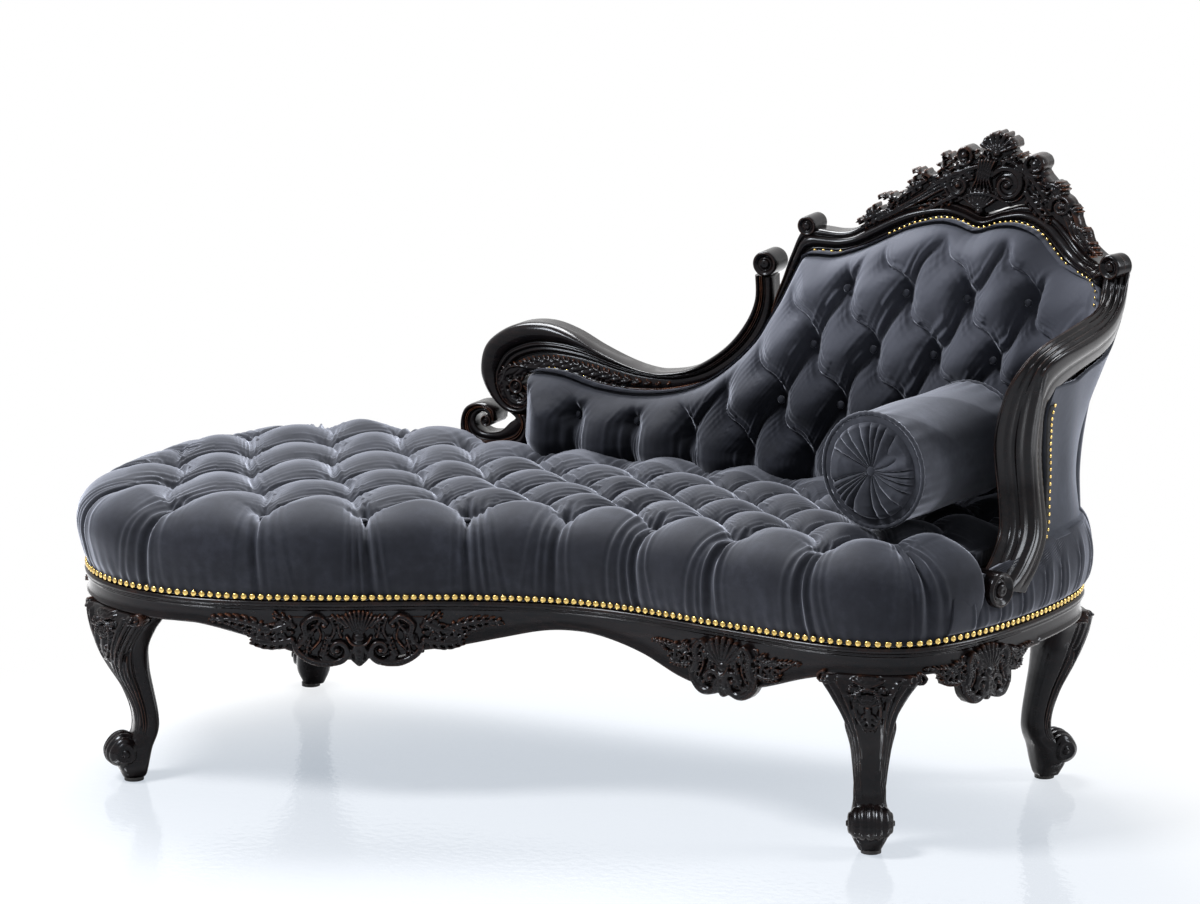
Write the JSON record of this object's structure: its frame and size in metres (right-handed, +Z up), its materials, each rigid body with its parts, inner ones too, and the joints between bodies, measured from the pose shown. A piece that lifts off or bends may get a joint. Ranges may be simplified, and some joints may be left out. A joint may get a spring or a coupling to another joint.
{
  "type": "chaise longue",
  "caption": "Tufted chaise longue with a kidney-shaped seat, scrolled low back, carved crest, one rolled arm, cabriole legs and a loose round bolster.",
  "frame": {"origin": "on the floor, under the middle of the whole piece's bounding box", "axes": "+Z up, +X towards the head end with the arm, -Y out of the open front"},
  "size_m": [1.6598, 0.8476, 1.035],
  "materials": {
    "show_wood": "ebonised, glossy, rubbed red-brown at the edges",
    "frame_wood": "plain sawn beech, hidden",
    "velvet": "blue-grey cotton velvet",
    "filling": "upholstery filling",
    "webbing": "woven jute",
    "lining": "black cambric",
    "brass": "polished nail heads",
    "steel": "zinc plated"
  },
  "bodies": {
    "root": {"arm_post": "frame_wood", "arm_rail": "show_wood", "arm_scroll": "show_wood", "back_buttons": "velvet", "back_low_rails": "frame_wood", "back_post_corner": "frame_wood", "back_post_foot": "frame_wood", "back_post_middle": "frame_wood", "back_rail": "show_wood", "carving_foot": "show_wood", "carving_front_foot": "show_wood", "carving_front_head": "show_wood", "carving_head": "show_wood", "corner_blocks": "frame_wood", "corner_bolts": "steel", "crest_carving": "show_wood", "crest_ears": "show_wood", "crest_rail": "show_wood", "cross_rails": "frame_wood", "dust_cover": "lining", "foot_rail": "show_wood", "front_rail": "show_wood", "head_rail": "show_wood", "hessian_deck": "webbing", "inside_back_cover": "velvet", "leg_back_foot": "show_wood", "leg_back_head": "show_wood", "leg_front_foot": "show_wood", "leg_front_head": "show_wood", "leg_glides": "steel", "outside_arm_cover": "velvet", "outside_back_cover": "velvet", "seat_buttons": "velvet", "seat_cover": "velvet", "seat_filling": "filling", "seat_nail_trim": "brass", "seat_rail_bead": "show_wood", "swoop_curl": "show_wood", "swoop_rail": "show_wood", "top_scroll": "show_wood", "webbing_cross": "webbing", "webbing_long": "webbing"},
    "bolster": {"bolster_cover": "velvet", "bolster_ends": "velvet", "bolster_piping": "velvet", "bolster_buttons": "velvet"}
  },
  "joints": [
    {"name": "bolster_lift", "type": "slide", "parent": "root", "child": "bolster", "axis": [0, 0, 1], "range_m": [0, 0.35]}
  ]
}
